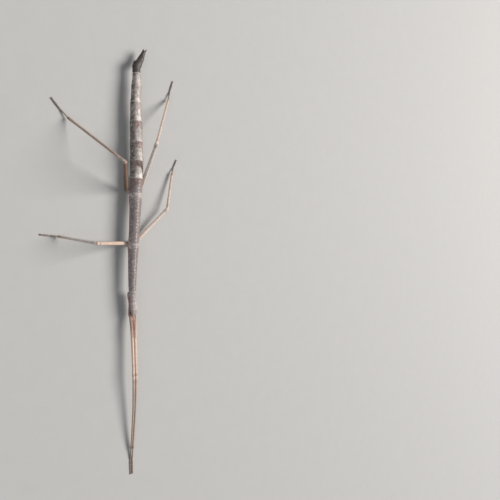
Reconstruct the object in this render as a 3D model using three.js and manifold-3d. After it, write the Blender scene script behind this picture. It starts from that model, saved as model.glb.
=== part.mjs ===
import * as THREE from 'three';
import { mergeVertices } from 'three/addons/utils/BufferGeometryUtils.js';
import Module from 'manifold-3d';

const wasm = await Module();
wasm.setup();

// Female stick insect, standing. Millimetres, +Z up, head towards -Y, its left side towards +X.
const ORIGIN_SHIFT = [6.0, 26.87, 0];
const GAP = 0.12;
const BODY_SIDES = 16;
const LIMB_SIDES = 8;
const TARSUS_SIDES = 8;

const THORAX_HEIGHT = 3.9;
const ABDOMEN_HEIGHT = 3.6;
const TIP_HEIGHT = 3.3;
const BODY_BEND = 2.7;
const BODY_ROUNDNESS = 0.93;

const HIND_FEMUR = 19.0;
const HIND_TIBIA = 24.3;
const HIND_TARSUS = 7.3;
const MID_FEMUR = 17.0;
const MID_TIBIA = 13.6;
const MID_TARSUS = 5.4;
const ANKLE_HEIGHT = 1.0;

const FORE_KNEE_Y = -66;
const FORE_ANKLE_Y = -92.1;
const FORE_TIP_Y = -101.8;
const FORE_KNEE_HEIGHT = 4.0;

// Body rings from head to tip: name, front and back border, width at each.
const SEGMENTS = [
  ['prothorax', -38.5, -35.1, 2.3, 2.45],
  ['mesothorax', -35.0, -18.75, 2.5, 3.65],
  ['metathorax', -18.65, -2.3, 3.55, 4.15],
  ['median_segment', -2.2, 3.85, 4.3, 4.65],
  ['abdomen_2', 3.95, 9.9, 4.55, 4.6],
  ['abdomen_3', 10.0, 16.25, 4.5, 4.35],
  ['abdomen_4', 16.35, 23.15, 4.25, 4.15],
  ['abdomen_5', 23.25, 29.45, 3.95, 3.7],
  ['abdomen_6', 29.55, 35.45, 3.5, 3.3],
  ['abdomen_7', 35.55, 39.35, 3.15, 2.6],
  ['abdomen_8', 39.45, 42.55, 2.55, 3.0],
  ['abdomen_9', 42.65, 44.95, 2.35, 1.8],
  ['abdomen_10', 45.05, 47.5, 1.6, 1.1],
];

// Standing legs: side, hip [outward, height], ankle on the floor plan, turn of the knee, foot heading.
const HIND = {
  hipY: -0.1, femur: HIND_FEMUR, tibia: HIND_TIBIA, tarsus: HIND_TARSUS, thick: 0.68, shin: 0.4,
};
const MIDDLE = {
  hipY: -18.2, femur: MID_FEMUR, tibia: MID_TIBIA, tarsus: MID_TARSUS, thick: 0.64, shin: 0.45,
};
const LEGS = {
  hind_right: { ...HIND, side: -1, hip: [2.8, 2.0], ankle: [-21.3, 22.2], swivel: -2.5, heading: 130 },
  hind_left: {
    ...HIND, side: 1, hipY: 0.8, hip: [3.32, 0.85], ankle: [15.2, 32.7], swivel: -23.2, heading: 71,
  },
  mid_right: { ...MIDDLE, side: -1, hip: [2.55, 2.2], ankle: [-25.4, -15.2], swivel: -4.9, heading: 172 },
  mid_left: { ...MIDDLE, side: 1, hip: [1.75, 1.4], ankle: [16.4, 6.5], swivel: 64.3, heading: 65 },
};

// Forelegs as a pair: Y, middle of the pair, distance of each leg from it, height.
const FORE_FEMUR_LINE = [
  [-36.6, -1.72, 0.72, 2.1], [-38.3, -1.5, 0.6, 2.1], [-40.2, -1.44, 0.56, 2.12],
  [-42.0, -1.44, 0.7, 2.2], [-43.3, -1.44, 0.8, 2.5], [-44.4, -1.42, 0.59, 2.85],
  [-45.4, -1.41, 0.62, 3.12], [-47.0, -1.44, 0.6, 3.36], [-50, -1.45, 0.55, 3.5], [-58, -1.45, 0.53, 3.8],
  [FORE_KNEE_Y, -1.48, 0.5, FORE_KNEE_HEIGHT],
];
const FORE_TIBIA_LINE = [
  [FORE_KNEE_Y - 0.2, -1.48, 0.47, FORE_KNEE_HEIGHT], [-76, -1.42, 0.41, 3.0],
  [-84, -1.56, 0.36, 2.2], [FORE_ANKLE_Y, -1.63, 0.33, ANKLE_HEIGHT],
];

const root = new THREE.Group();
root.name = 'stick_insect';

function vec(x, y, z) {
  return new THREE.Vector3(x, y, z);
}

function ramp(x, from, to) {
  const t = THREE.MathUtils.clamp((x - from) / (to - from), 0, 1);
  return t * t * (3 - 2 * t);
}

// Middle of the body at a given Y: a slight S along the back and a tip that swings to the left.
function spine(y) {
  const head = 0.36 * ramp(y, -36.5, -41.5);
  const tail = 0.55 * ramp(y, 28, 39.5) + 1.75 * ramp(y, 41.2, 44.4) + 0.42 * Math.max(0, y - 44);
  const x = -1.8 + BODY_BEND * ramp(y, -36, 14) + head + tail;
  const rise = (THORAX_HEIGHT - ABDOMEN_HEIGHT) * ramp(y, 0, -12);
  const droop = (ABDOMEN_HEIGHT - TIP_HEIGHT) * ramp(y, 34, 46);
  return vec(x, y, ABDOMEN_HEIGHT + rise - droop);
}

function heading(y) {
  return spine(y + 0.2).sub(spine(y - 0.2)).normalize();
}

// Closed skin through rings. A station is { p, t, side, a, b, power }: centre, direction, sideways
// vector, half width, half height and squareness.
function loft(stations, sides, grow = 0) {
  const positions = [];
  const index = [];
  const last = stations.length - 1;
  stations.forEach((s, k) => {
    const up = s.t.clone().cross(s.side).normalize();
    const across = up.clone().cross(s.t);
    const centre = s.p.clone();
    if (k === 0) centre.addScaledVector(s.t, -grow);
    if (k === last) centre.addScaledVector(s.t, grow);
    for (let i = 0; i < sides; i++) {
      const angle = (2 * Math.PI * i) / sides;
      const c = Math.cos(angle);
      const d = Math.sin(angle);
      const n = s.power ?? 2;
      const r = (Math.abs(c) ** n + Math.abs(d) ** n) ** (-1 / n);
      const flat = d < 0 ? s.belly ?? 1 : 1;
      const point = centre.clone()
        .addScaledVector(across, (s.a + grow) * r * c)
        .addScaledVector(up, (s.b * flat + grow) * r * d);
      positions.push(point.x, point.y, point.z);
    }
    if (k === 0) return;
    for (let i = 0; i < sides; i++) {
      const j = (i + 1) % sides;
      const low = (k - 1) * sides;
      const high = k * sides;
      index.push(low + i, low + j, high + j, low + i, high + j, high + i);
    }
  });
  const first = positions.length / 3;
  for (const k of [0, last]) {
    const s = stations[k];
    const centre = s.p.clone().addScaledVector(s.t, k === 0 ? -grow : grow);
    positions.push(centre.x, centre.y, centre.z);
  }
  for (let i = 0; i < sides; i++) {
    const j = (i + 1) % sides;
    index.push(first, j, i, first + 1, last * sides + i, last * sides + j);
  }
  const geometry = new THREE.BufferGeometry();
  geometry.setAttribute('position', new THREE.Float32BufferAttribute(positions, 3));
  geometry.setIndex(index);
  return geometry;
}

function toSolid(geometry) {
  const plain = geometry.clone();
  plain.deleteAttribute('normal');
  plain.deleteAttribute('uv');
  const merged = mergeVertices(plain, 1e-4);
  const mesh = new wasm.Mesh({
    numProp: 3,
    vertProperties: new Float32Array(merged.attributes.position.array),
    triVerts: new Uint32Array(merged.index.array),
  });
  return new wasm.Manifold(mesh);
}

function cut(geometry, ...tools) {
  let solid = toSolid(geometry);
  for (const tool of tools) {
    solid = solid.subtract(toSolid(tool));
  }
  const mesh = solid.getMesh();
  const result = new THREE.BufferGeometry();
  result.setAttribute('position', new THREE.Float32BufferAttribute(mesh.vertProperties, 3));
  result.setIndex(Array.from(mesh.triVerts));
  return result;
}

function add(name, geometry, color) {
  geometry.translate(...ORIGIN_SHIFT);
  geometry.computeVertexNormals();
  const mesh = new THREE.Mesh(geometry, new THREE.MeshStandardMaterial({ color, roughness: 0.7 }));
  mesh.name = name;
  root.add(mesh);
}

// Stations along a smooth path; profile(u) gives the half width and half height at u in 0..1.
function along(points, count, side, profile) {
  const curve = new THREE.CatmullRomCurve3(points, false, 'centripetal');
  const stations = [];
  for (let k = 0; k <= count; k++) {
    const u = k / count;
    const [a, b = a] = profile(u);
    stations.push({ p: curve.getPointAt(u), t: curve.getTangentAt(u), side, a, b, power: 2.3 });
  }
  return stations;
}

// Rounded limb profile: half width blended through the given values, with both ends drawn in.
function limb(values, endRoundness = 0.75) {
  return (u) => {
    const f = u * (values.length - 1);
    const i = Math.min(Math.floor(f), values.length - 2);
    const wide = THREE.MathUtils.lerp(values[i], values[i + 1], f - i);
    const end = u < 1e-6 || u > 1 - 1e-6 ? endRoundness : 1;
    return [wide * end, wide * end];
  };
}

// One body ring: a tube with drawn-in ends and a low flare at its back margin.
function bodyRing([name, front, back, wide0, wide1], grow = 0) {
  const marks = [0, 0.03, 0.2, 0.5, 0.8, 0.93, 0.98, 1];
  const swell = [0.92, 0.99, 1.01, 0.985, 0.99, 1.03, 1.025, 0.95];
  const stations = marks.map((u, k) => {
    const y = THREE.MathUtils.lerp(front, back, u);
    const wide = THREE.MathUtils.lerp(wide0, wide1, u) * swell[k] + hipSwell(name, y);
    const belly = name.startsWith('abdomen') && front > 40 ? 0.62 : 0.95;
    const side = vec(-1, 0, 0);
    return { p: spine(y), t: heading(y), side, a: wide / 2, b: (wide / 2) * BODY_ROUNDNESS, belly };
  });
  return loft(stations, BODY_SIDES, grow);
}

// The thorax widens where the middle and hind legs leave it.
function hipSwell(name, y) {
  const near = name === 'mesothorax' ? y + 20 : y + 3.4;
  return name.endsWith('sothorax') || name.endsWith('tathorax') ? 0.22 * Math.exp(-near * near / 3) : 0;
}

function headShell(grow = 0) {
  const rows = [
    [-38.66, 0.88, 0.86, 3.9], [-38.82, 1.04, 1.0, 3.9], [-39.4, 1.15, 1.09, 3.88],
    [-40.4, 1.19, 1.13, 3.86], [-41.4, 1.18, 1.11, 3.82], [-42.2, 1.09, 1.03, 3.77],
    [-42.8, 0.94, 0.92, 3.7], [-43.15, 0.77, 0.75, 3.63], [-43.35, 0.5, 0.5, 3.58],
  ];
  const stations = rows.map(([y, a, b, z]) => (
    { p: spine(y).setZ(z), t: vec(0, -1, -0.08).normalize(), side: vec(1, 0, 0), a, b, power: 2.2 }
  ));
  return loft(stations, BODY_SIDES, grow);
}

function ball(centre, rx, ry, rz, grow = 0) {
  const shape = new THREE.SphereGeometry(1, 14, 10);
  shape.scale(rx + grow, ry + grow, rz + grow);
  shape.translate(centre.x, centre.y, centre.z);
  return shape;
}

for (const segment of SEGMENTS) {
  const dark = segment[1] > 39.5;
  add(segment[0], bodyRing(segment), dark ? 0x7a4a3c : 0xb98a78);
}

const headCutter = headShell(GAP);
add('head', headShell(), 0xd9b9ab);

const mouthStations = [
  [-41.9, 0.34, 0.3, 2.94], [-42.1, 0.42, 0.38, 2.95], [-42.8, 0.46, 0.42, 3.02],
  [-43.4, 0.44, 0.4, 3.08], [-43.65, 0.32, 0.28, 3.12],
].map(([y, a, b, z]) => ({ p: spine(y).setZ(z), t: vec(0, -1, 0), side: vec(1, 0, 0), a, b }));
add('mouthparts', cut(loft(mouthStations, 10), headCutter), 0x9c6b58);

for (const [word, side] of [['left', 1], ['right', -1]]) {
  const eye = ball(spine(-42.35).add(vec(side * 0.93, 0, -0.24)), 0.4, 0.46, 0.44);
  add(`eye_${word}`, cut(eye, headCutter), 0x4a2a22);

  const feeler = [
    vec(-1.44 + side * 0.4, -42.85, 4.12),
    vec(-1.48 + side * 0.45, -43.9, 4.4),
    vec(-1.6 + side * 0.4, -46.2, 4.42),
    vec(-1.66 + side * 0.4, -48.7, 4.46),
    vec(-1.68 + side * 0.46, -51.2, 4.54),
  ];
  const rod = along(feeler, 8, vec(1, 0, 0), limb([0.32, 0.29, 0.26, 0.26, 0.25, 0.25], 0.8));
  add(`antenna_${word}`, cut(loft(rod, LIMB_SIDES), headCutter), 0x8a5544);

  const tip = spine(46.7);
  const cercusEnd = vec(side * 0.62 + 0.6, 1.25, -0.1).add(tip);
  const cercus = [vec(side * 0.3, 0, 0.05).add(tip), cercusEnd];
  const cercusRod = along(cercus, 3, vec(1, 0, 0), limb([0.3, 0.27, 0.25]));
  const lastRing = SEGMENTS[SEGMENTS.length - 1];
  add(`cercus_${word}`, cut(loft(cercusRod, TARSUS_SIDES), bodyRing(lastRing, GAP)), 0x6a4034);
}

// Keel-shaped plate under the last rings.
const plateStations = [
  [40.5, 0.55, 0.35, 2.6], [41.2, 0.9, 0.62, 2.45], [42.8, 1.05, 0.75, 2.3],
  [44.6, 0.88, 0.66, 2.25], [46.0, 0.55, 0.45, 2.3], [46.8, 0.25, 0.25, 2.35],
].map(([y, a, b, z]) => ({ p: spine(y).setZ(z), t: heading(y), side: vec(-1, 0, 0), a, b }));
const plateTools = SEGMENTS.filter((s) => s[2] > 38).map((s) => bodyRing(s, GAP));
add('operculum', cut(loft(plateStations, 10), ...plateTools), 0x74463a);

// Knee between hip and ankle for two known lengths, turned about the hip-ankle line.
function kneeOf(hip, ankle, femur, tibia, swivel) {
  const line = ankle.clone().sub(hip);
  const span = line.length();
  const e = line.divideScalar(span);
  const a = (femur ** 2 - tibia ** 2 + span ** 2) / (2 * span);
  const lift = Math.sqrt(femur ** 2 - a ** 2);
  const u = vec(0, 0, 1).addScaledVector(e, -e.z).normalize();
  const w = e.clone().cross(u);
  const turn = THREE.MathUtils.degToRad(swivel);
  return hip.clone().addScaledVector(e, a)
    .addScaledVector(u, lift * Math.cos(turn))
    .addScaledVector(w, lift * Math.sin(turn));
}

// Foot: drops from the ankle, then runs along the floor with its underside cut flat.
function tarsusPath(ankle, tip, sole) {
  const at = (u, z) => ankle.clone().lerp(tip, u).setZ(z);
  return [ankle, at(0.22, 0.62), at(0.45, sole + 0.02), at(0.7, sole), at(1, sole)];
}

const FLOOR = new THREE.BoxGeometry(400, 400, 4).translate(0, 0, -2);

function addLeg(name, parts, color) {
  const { coxa, femur, tibia, tarsus, ringNames } = parts;
  const femurCutter = loft(femur, LIMB_SIDES, GAP);
  const rings = SEGMENTS.filter((s) => ringNames.includes(s[0])).map((s) => bodyRing(s, GAP));
  add(`${name}_coxa`, cut(loft(coxa, LIMB_SIDES), femurCutter, ...rings), color);
  add(`${name}_femur`, loft(femur, LIMB_SIDES), color);
  add(`${name}_tibia`, cut(loft(tibia, TARSUS_SIDES), femurCutter), color);
  add(`${name}_tarsus`, cut(loft(tarsus, TARSUS_SIDES), loft(tibia, TARSUS_SIDES, GAP), FLOOR), color);
}

for (const [name, leg] of Object.entries(LEGS)) {
  const middle = spine(leg.hipY);
  const hip = vec(middle.x + leg.side * leg.hip[0], leg.hipY, leg.hip[1]);
  const ankle = vec(...leg.ankle, ANKLE_HEIGHT);
  const knee = kneeOf(hip, ankle, leg.femur, leg.tibia, leg.swivel);
  const turn = THREE.MathUtils.degToRad(leg.heading);
  const tip = ankle.clone().add(vec(Math.cos(turn) * leg.tarsus, Math.sin(turn) * leg.tarsus, 0));
  const thigh = knee.clone().sub(hip).normalize();
  const shin = ankle.clone().sub(knee).normalize();
  const hinge = thigh.clone().cross(shin).normalize();
  const inner = vec(middle.x + leg.side * 1.2, leg.hipY - 0.5, 2.6);
  const wide = leg.thick;
  const slim = leg.shin;
  const coxaEnd = hip.clone().addScaledVector(thigh, 0.35);
  const foot = vec(tip.x - ankle.x, tip.y - ankle.y, 0).cross(vec(0, 0, 1)).normalize();
  addLeg(name, {
    coxa: along([inner, coxaEnd], 4, vec(0, 1, 0), limb([0.95, 0.9, 0.8, 0.68])),
    femur: along(
      [hip, knee.clone().addScaledVector(thigh, 0.35)], 9, hinge,
      limb([wide * 0.9, wide, wide, wide * 0.92, wide * 0.85, wide * 0.82, wide * 0.95]),
    ),
    tibia: along(
      [knee.clone().addScaledVector(shin, 0.15), ankle.clone().addScaledVector(shin, 0.2)], 7, hinge,
      limb([slim * 1.05, slim, slim * 0.95, slim * 0.92, slim * 0.9, slim]),
    ),
    tarsus: along(tarsusPath(ankle, tip, 0.22), 10, foot, limb([0.29, 0.27, 0.27, 0.28, 0.28, 0.3, 0.26])),
    ringNames: ['mesothorax', 'metathorax', 'median_segment'],
  }, 0xb07a5e);
}

// Forelegs: bowed round the head, then side by side straight ahead.
for (const [word, side] of [['left', 1], ['right', -1]]) {
  const trace = (line) => line.map(([y, middle, offset, z]) => vec(middle + side * offset, y, z));
  const femurLine = trace(FORE_FEMUR_LINE);
  const tibiaLine = trace(FORE_TIBIA_LINE);
  const hip = femurLine[0];
  const ankle = tibiaLine[tibiaLine.length - 1];
  const tip = vec(ankle.x + side * 0.03, FORE_TIP_Y, 0.22);
  const across = vec(-1, 0, 0);
  const inner = vec(spine(-36).x + side * 0.54, -35.1, 3.05);
  const coxaEnd = hip.clone().add(vec(0, -0.35, 0));
  addLeg(`fore_${word}`, {
    coxa: along([inner, coxaEnd], 4, vec(side, -1, 0), limb([0.6, 0.68, 0.6, 0.52, 0.46])),
    femur: along(
      femurLine, 20, across,
      limb([0.42, 0.38, 0.45, 0.6, 0.54, 0.49, 0.45, 0.44, 0.43, 0.42, 0.42]),
    ),
    tibia: along(tibiaLine, 7, across, limb([0.34, 0.31, 0.28, 0.27, 0.26, 0.27])),
    tarsus: along(
      tarsusPath(ankle, tip, 0.22), 10, across,
      limb([0.26, 0.25, 0.25, 0.25, 0.28, 0.28, 0.25]),
    ),
    ringNames: ['prothorax', 'mesothorax'],
  }, 0xb5604a);
}

export default root;
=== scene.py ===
import math
import random

import bpy
import numpy as np
from mathutils import Matrix, Vector, kdtree


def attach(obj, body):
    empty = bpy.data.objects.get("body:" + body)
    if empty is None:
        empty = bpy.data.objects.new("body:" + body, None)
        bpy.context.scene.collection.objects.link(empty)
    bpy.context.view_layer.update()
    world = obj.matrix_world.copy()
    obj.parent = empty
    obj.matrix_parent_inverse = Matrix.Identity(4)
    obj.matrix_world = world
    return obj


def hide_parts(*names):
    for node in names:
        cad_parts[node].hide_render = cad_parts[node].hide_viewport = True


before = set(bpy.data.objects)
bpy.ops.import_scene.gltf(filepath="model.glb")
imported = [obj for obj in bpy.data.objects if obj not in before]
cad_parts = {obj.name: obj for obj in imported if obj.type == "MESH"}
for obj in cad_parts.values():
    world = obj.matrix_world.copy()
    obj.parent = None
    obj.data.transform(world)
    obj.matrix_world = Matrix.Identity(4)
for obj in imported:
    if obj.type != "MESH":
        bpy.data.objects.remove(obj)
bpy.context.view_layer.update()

# All sizes below are in millimetres in the animal's own axes: X to its left, Y towards the tail,
# Z up. SHIFT moves them to the shared frame and MM turns them into metres.
MM = 0.001
SHIFT = np.array([6.0, 26.87, 0.0])
random.seed(7)

THORAX_HEIGHT, ABDOMEN_HEIGHT, TIP_HEIGHT = 3.9, 3.6, 3.3
COXA_LENGTH = 2.0
ANKLE_HEIGHT = 1.0
SOLE = 0.22

# Name, front and back along Y, and the full width at each of them.
SEGMENTS = [
    ("prothorax", -38.5, -35.05, 2.3, 2.45),
    ("mesothorax", -35.05, -18.7, 2.5, 3.65),
    ("metathorax", -18.7, -2.25, 3.55, 4.15),
    ("median", -2.25, 3.9, 4.3, 4.65),
    ("abd2", 3.9, 9.95, 4.55, 4.6),
    ("abd3", 9.95, 16.3, 4.5, 4.35),
    ("abd4", 16.3, 23.2, 4.25, 4.15),
    ("abd5", 23.2, 29.5, 3.95, 3.7),
    ("abd6", 29.5, 35.5, 3.5, 3.3),
    ("abd7", 35.5, 39.4, 3.15, 2.6),
    ("abd8", 39.4, 42.6, 2.55, 3.0),
    ("abd9", 42.6, 45.0, 2.35, 1.8),
    ("abd10", 45.0, 47.5, 1.6, 1.1),
]
# Lengths and radii of the leg joints. A hip is given by its distance from the middle and its height,
# an ankle by X and Y; swivel leans the knee over and heading turns the foot. light lays a painted
# highlight on the femur and tibia, tone lays painted shade over the femur, and tan darkens the tibia,
# by default as painted shade that follows tone.
HIND = dict(hip_y=-0.1, femur=19.0, tibia=24.3, tarsus=7.3, thick=0.68, shin=0.4)
MIDDLE = dict(hip_y=-18.2, femur=17.0, tibia=13.6, tarsus=5.4, thick=0.64, shin=0.45)
LEGS = {
    "hind_right": dict(HIND, side=-1, hip=(2.8, 2.0), ankle=(-21.3, 22.2), swivel=-2.5, heading=130,
                       painted_shade=1.0),
    "hind_left": dict(HIND, side=1, hip_y=0.8, hip=(3.32, 0.85), ankle=(15.2, 32.7), swivel=-23.2,
                      heading=71, light=(1.3, 0.3)),
    "mid_right": dict(MIDDLE, side=-1, hip=(2.55, 2.2), ankle=(-25.4, -15.2), swivel=-4.9, heading=172,
                      painted_shade=0.15, light=(0.0, 1.4)),
    "mid_left": dict(MIDDLE, side=1, hip=(1.75, 1.4), ankle=(16.4, 6.5), swivel=64.3, heading=65,
                     light=(0.8, 0.4)),
}
FORE_KNEE_Y, FORE_ANKLE_Y, FORE_TIP_Y, FORE_KNEE_HEIGHT = -66.0, -92.1, -101.8, 4.0
# Y, middle of the pair of forelegs, distance of each from it, height.
FORE_FEMUR_LINE = [
    (-36.6, -1.72, 0.72, 2.1), (-38.3, -1.5, 0.6, 2.1), (-40.2, -1.44, 0.56, 2.12),
    (-42.0, -1.44, 0.7, 2.2), (-43.3, -1.44, 0.8, 2.5), (-44.4, -1.42, 0.59, 2.85),
    (-45.4, -1.41, 0.62, 3.12), (-47.0, -1.44, 0.6, 3.36), (-50, -1.45, 0.55, 3.5),
    (-58, -1.45, 0.53, 3.8), (FORE_KNEE_Y, -1.48, 0.5, FORE_KNEE_HEIGHT),
]
FORE_TIBIA_LINE = [
    (FORE_KNEE_Y + 0.6, -1.48, 0.49, FORE_KNEE_HEIGHT - 0.05), (-76, -1.42, 0.41, 3.0),
    (-84, -1.56, 0.36, 2.2), (FORE_ANKLE_Y, -1.63, 0.33, ANKLE_HEIGHT),
]
BODY_ROUNDNESS = 0.93
TAIL_END = 47.5
# Points round the body, spacing of its rows of points, and the closer rows at both ends of a ring.
BODY_SIDES = 104
ROW_SPACING = 0.27
FRONT_ROWS = np.array([0.07, 0.13, 0.2])
BACK_ROWS = np.array([0.36, 0.24, 0.14, 0.06, 0.01])
EYE_Y, EYE_OUT, EYE_DROP = -42.35, 0.93, 0.24
EYE_WIDTH, EYE_LENGTH, EYE_HEIGHT = 0.40, 0.46, 0.44
# Angles away from the top at which the side ridge, the side fold and the belly groove lie.
RIDGE_TURN, FOLD_TURN, BELLY_TURN = 1.28, 1.86, 2.45
ATTRIBUTES = ("dark", "pale", "kind", "along", "round", "blush")
# What a point of the skin belongs to, kept as its kind, which chooses its colours.
BODY, HEAD, FEMUR, TIBIA, COXA, TARSUS = range(6)


def ramp(x, a, b):
    t = np.clip((np.asarray(x, float) - a) / (b - a), 0, 1)
    return t * t * (3 - 2 * t)


def bump(x, centre, width):
    return np.exp(-(((np.asarray(x, float) - centre) / width) ** 2))


def spine(y):
    y = np.asarray(y, float)
    x = -1.8 + 2.7 * ramp(y, -36, 14) + 0.36 * ramp(y, -36.5, -41.5)
    x = x + 0.55 * ramp(y, 28, 39.5) + 1.75 * ramp(y, 41.2, 44.4) + 0.42 * np.maximum(0, y - 44)
    z = ABDOMEN_HEIGHT + (THORAX_HEIGHT - ABDOMEN_HEIGHT) * ramp(y, 0, -12)
    z = z - (ABDOMEN_HEIGHT - TIP_HEIGHT) * ramp(y, 34, 46)
    return np.stack([x, y, z], -1)


def unit(v):
    v = np.asarray(v, float)
    return v / np.maximum(np.linalg.norm(v, axis=-1, keepdims=True), 1e-12)


def even(n):
    return np.arange(n) * 2 * math.pi / n


def from_top(angles):
    """Angle away from the top of a ring, the same on both sides."""
    return np.abs(np.angle(np.exp(1j * (angles - math.pi / 2))))


def circle(angles):
    """Points of a unit circle that stands across Y."""
    return np.stack([np.cos(angles), 0 * angles, np.sin(angles)], -1)


def value_noise(p, scale, seed):
    """Smooth lattice noise in -1..1 at the points p, with cells of the given size."""
    q = np.asarray(p, float) / scale + 57.3 * (seed + 1)
    base = np.floor(q).astype(np.int64)
    f = q - base
    f = f * f * (3 - 2 * f)
    total = np.zeros(q.shape[:-1])
    for corner in range(8):
        o = np.array([corner & 1, corner >> 1 & 1, corner >> 2 & 1])
        c = base + o
        h = c[..., 0] * 374761393 + c[..., 1] * 668265263 + c[..., 2] * 2147483647 + seed * 974711
        h = h & 0xFFFFFFFF
        h = ((h ^ (h >> 13)) * 1274126177) & 0xFFFFFFFF
        r = ((h ^ (h >> 16)) & 0xFFFF) / 32767.5 - 1
        w = np.prod(np.where(o == 1, f, 1 - f), axis=-1)
        total += r * w
    return total


class Part:
    """A closed grid of rings with a value of every attribute at every point."""

    def __init__(self, points, attributes):
        m, n, _ = points.shape
        self.points = np.concatenate([points.reshape(-1, 3), points[[0, -1]].mean(axis=1)])
        i = np.arange(n)
        j = (i + 1) % n
        quads = []
        for k in range(m - 1):
            quads.append(np.stack([k * n + i, k * n + j, (k + 1) * n + j, (k + 1) * n + i], -1))
        self.faces = [list(map(int, f)) for f in np.concatenate(quads)]
        low, high = m * n, m * n + 1
        for a in range(n):
            b = (a + 1) % n
            self.faces.append([low, b, a])
            self.faces.append([high, (m - 1) * n + a, (m - 1) * n + b])
        self.values = {}
        for name in ATTRIBUTES:
            grid = np.broadcast_to(np.asarray(attributes.get(name, 0.0), float), (m, n))
            self.values[name] = np.concatenate([grid.reshape(-1), grid[[0, -1]].mean(axis=1)])


def tube(centres, tangents, side, wide, tall, angles, relief=None, power=2.0, **attributes):
    """Rings of half width `wide` and half height `tall` round a line; relief(angle) is added outward."""
    side = np.broadcast_to(np.asarray(side, float), centres.shape)
    up = unit(np.cross(tangents, side))
    across = unit(np.cross(up, tangents))
    c, s = np.cos(angles), np.sin(angles)
    r = (np.abs(c) ** power + np.abs(s) ** power) ** (-1 / power)
    x = (wide[:, None] if np.ndim(wide) == 1 else wide) * (r * c)
    z = (tall[:, None] if np.ndim(tall) == 1 else tall) * (r * s)
    if relief is not None:
        x = x + relief * c
        z = z + relief * s
    points = centres[:, None] + across[:, None] * x[..., None] + up[:, None] * z[..., None]
    return Part(points, attributes)


def catmull(points, count):
    """Evenly spaced points and directions along a smooth line through the given points."""
    p = np.asarray(points, float)
    p = np.concatenate([[2 * p[0] - p[1]], p, [2 * p[-1] - p[-2]]])
    fine = []
    for k in range(1, len(p) - 2):
        t0 = 0.0
        t1 = t0 + np.linalg.norm(p[k] - p[k - 1]) ** 0.5
        t2 = t1 + np.linalg.norm(p[k + 1] - p[k]) ** 0.5
        t3 = t2 + np.linalg.norm(p[k + 2] - p[k + 1]) ** 0.5
        t = np.linspace(t1, t2, 40, endpoint=k == len(p) - 3)[:, None]
        a1 = (t1 - t) / (t1 - t0) * p[k - 1] + (t - t0) / (t1 - t0) * p[k]
        a2 = (t2 - t) / (t2 - t1) * p[k] + (t - t1) / (t2 - t1) * p[k + 1]
        a3 = (t3 - t) / (t3 - t2) * p[k + 1] + (t - t2) / (t3 - t2) * p[k + 2]
        b1 = (t2 - t) / (t2 - t0) * a1 + (t - t0) / (t2 - t0) * a2
        b2 = (t3 - t) / (t3 - t1) * a2 + (t - t1) / (t3 - t1) * a3
        fine.append((t2 - t) / (t2 - t1) * b1 + (t - t1) / (t2 - t1) * b2)
    fine = np.concatenate(fine)
    far = np.concatenate([[0], np.cumsum(np.linalg.norm(np.diff(fine, axis=0), axis=1))])
    want = np.asarray(count, float) * far[-1] if np.ndim(count) else np.linspace(0, far[-1], count)
    out = np.stack([np.interp(want, far, fine[:, a]) for a in range(3)], -1)
    slope = np.gradient(fine, far, axis=0)
    return out, unit(np.stack([np.interp(want, far, slope[:, a]) for a in range(3)], -1))


def blend(u, values):
    return np.interp(u, np.linspace(0, 1, len(values)), values)


def rounded(u, length, reach):
    """1 along the middle, falling to a small value over `reach` at both ends, as a dome."""
    d = np.minimum(u, 1 - u) * length / reach
    return np.sqrt(np.clip(1 - (1 - np.clip(d, 0.004, 1)) ** 2, 0, 1))


# ---------------------------------------------------------------- body
def granule_places():
    """Y, turn from the top and radius of every granule: rows on the thorax, then loose ones."""
    def small():
        return random.uniform(0.11, 0.21)

    places = [(v, 0.05 * math.sin(7 * v), 0.25) for v in np.arange(-37.4, 3.4, 1.12)]
    for side in (-1, 1):
        places += [(v + random.uniform(-0.2, 0.2), side * random.gauss(1.48, 0.07), small())
                   for v in np.arange(-34.5, 3.2, 0.72)]
    places += [(random.uniform(-38, 3.2), random.choice((-1, 1)) * random.uniform(1.0, 2.0), small())
               for _ in range(200)]
    places += [(random.uniform(-38, 3.2), random.uniform(-0.9, 0.9), small()) for _ in range(26)]
    places += [(random.uniform(3.5, 39), random.uniform(-2.0, 2.0), small()) for _ in range(220)]
    return places


def body_angles(n):
    """Angles round the body, closer together at the middle ridge and along both side folds."""
    turn = np.linspace(0, 1, 4001) * 2 * math.pi
    top = from_top(turn)
    density = 1 + 1.5 * bump(top, 0, 0.16) + 0.9 * bump(top, FOLD_TURN, 0.14) + 0.5 * bump(top, 1.3, 0.14)
    total = np.cumsum(density)
    share = (total - total[0]) / (total[-1] - total[0])
    return np.interp(np.linspace(0, 1, n, endpoint=False), share, turn)


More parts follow.
